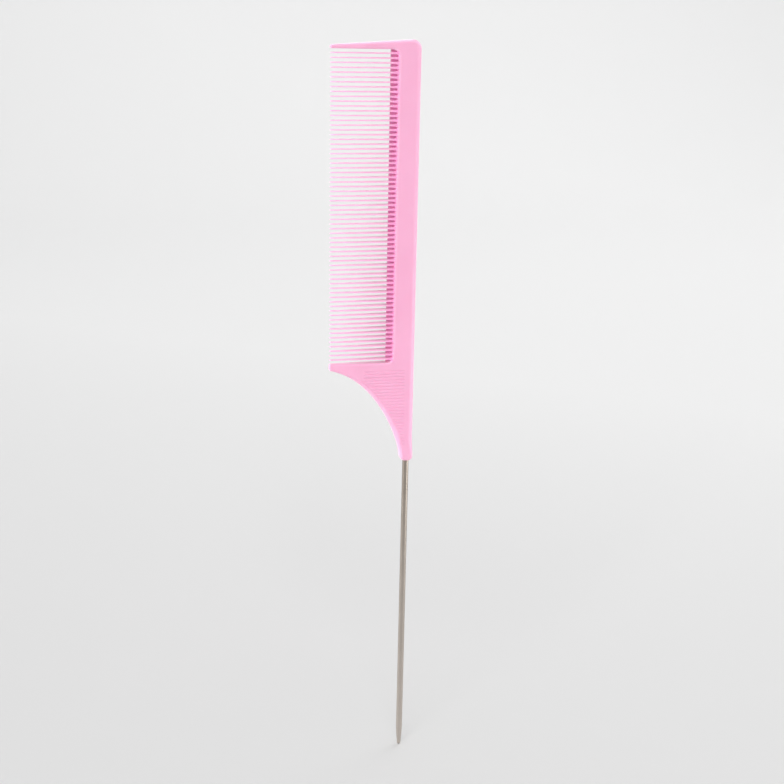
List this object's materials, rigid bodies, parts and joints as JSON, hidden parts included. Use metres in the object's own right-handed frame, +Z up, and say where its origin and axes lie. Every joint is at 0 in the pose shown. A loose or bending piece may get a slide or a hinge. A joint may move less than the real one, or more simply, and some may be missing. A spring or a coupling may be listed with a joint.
{
  "type": "rat tail comb",
  "caption": "Fine-tooth hair comb moulded in pink plastic, with end guards, a curved shoulder, a ribbed grip and a long thin steel pin tail.",
  "frame": {"origin": "under the middle of the comb's box, level with the tail's tip", "axes": "+Z up the comb from the tail's tip to the head, +X from the tooth tips to the back edge, Y through the thickness"},
  "size_m": [0.028, 0.004, 0.23],
  "materials": {
    "pink_plastic": "satin moulded",
    "tail_steel": "drawn wire, satin"
  },
  "bodies": {
    "root": {"comb_body": "pink_plastic", "tail_pin": "tail_steel"}
  },
  "joints": []
}
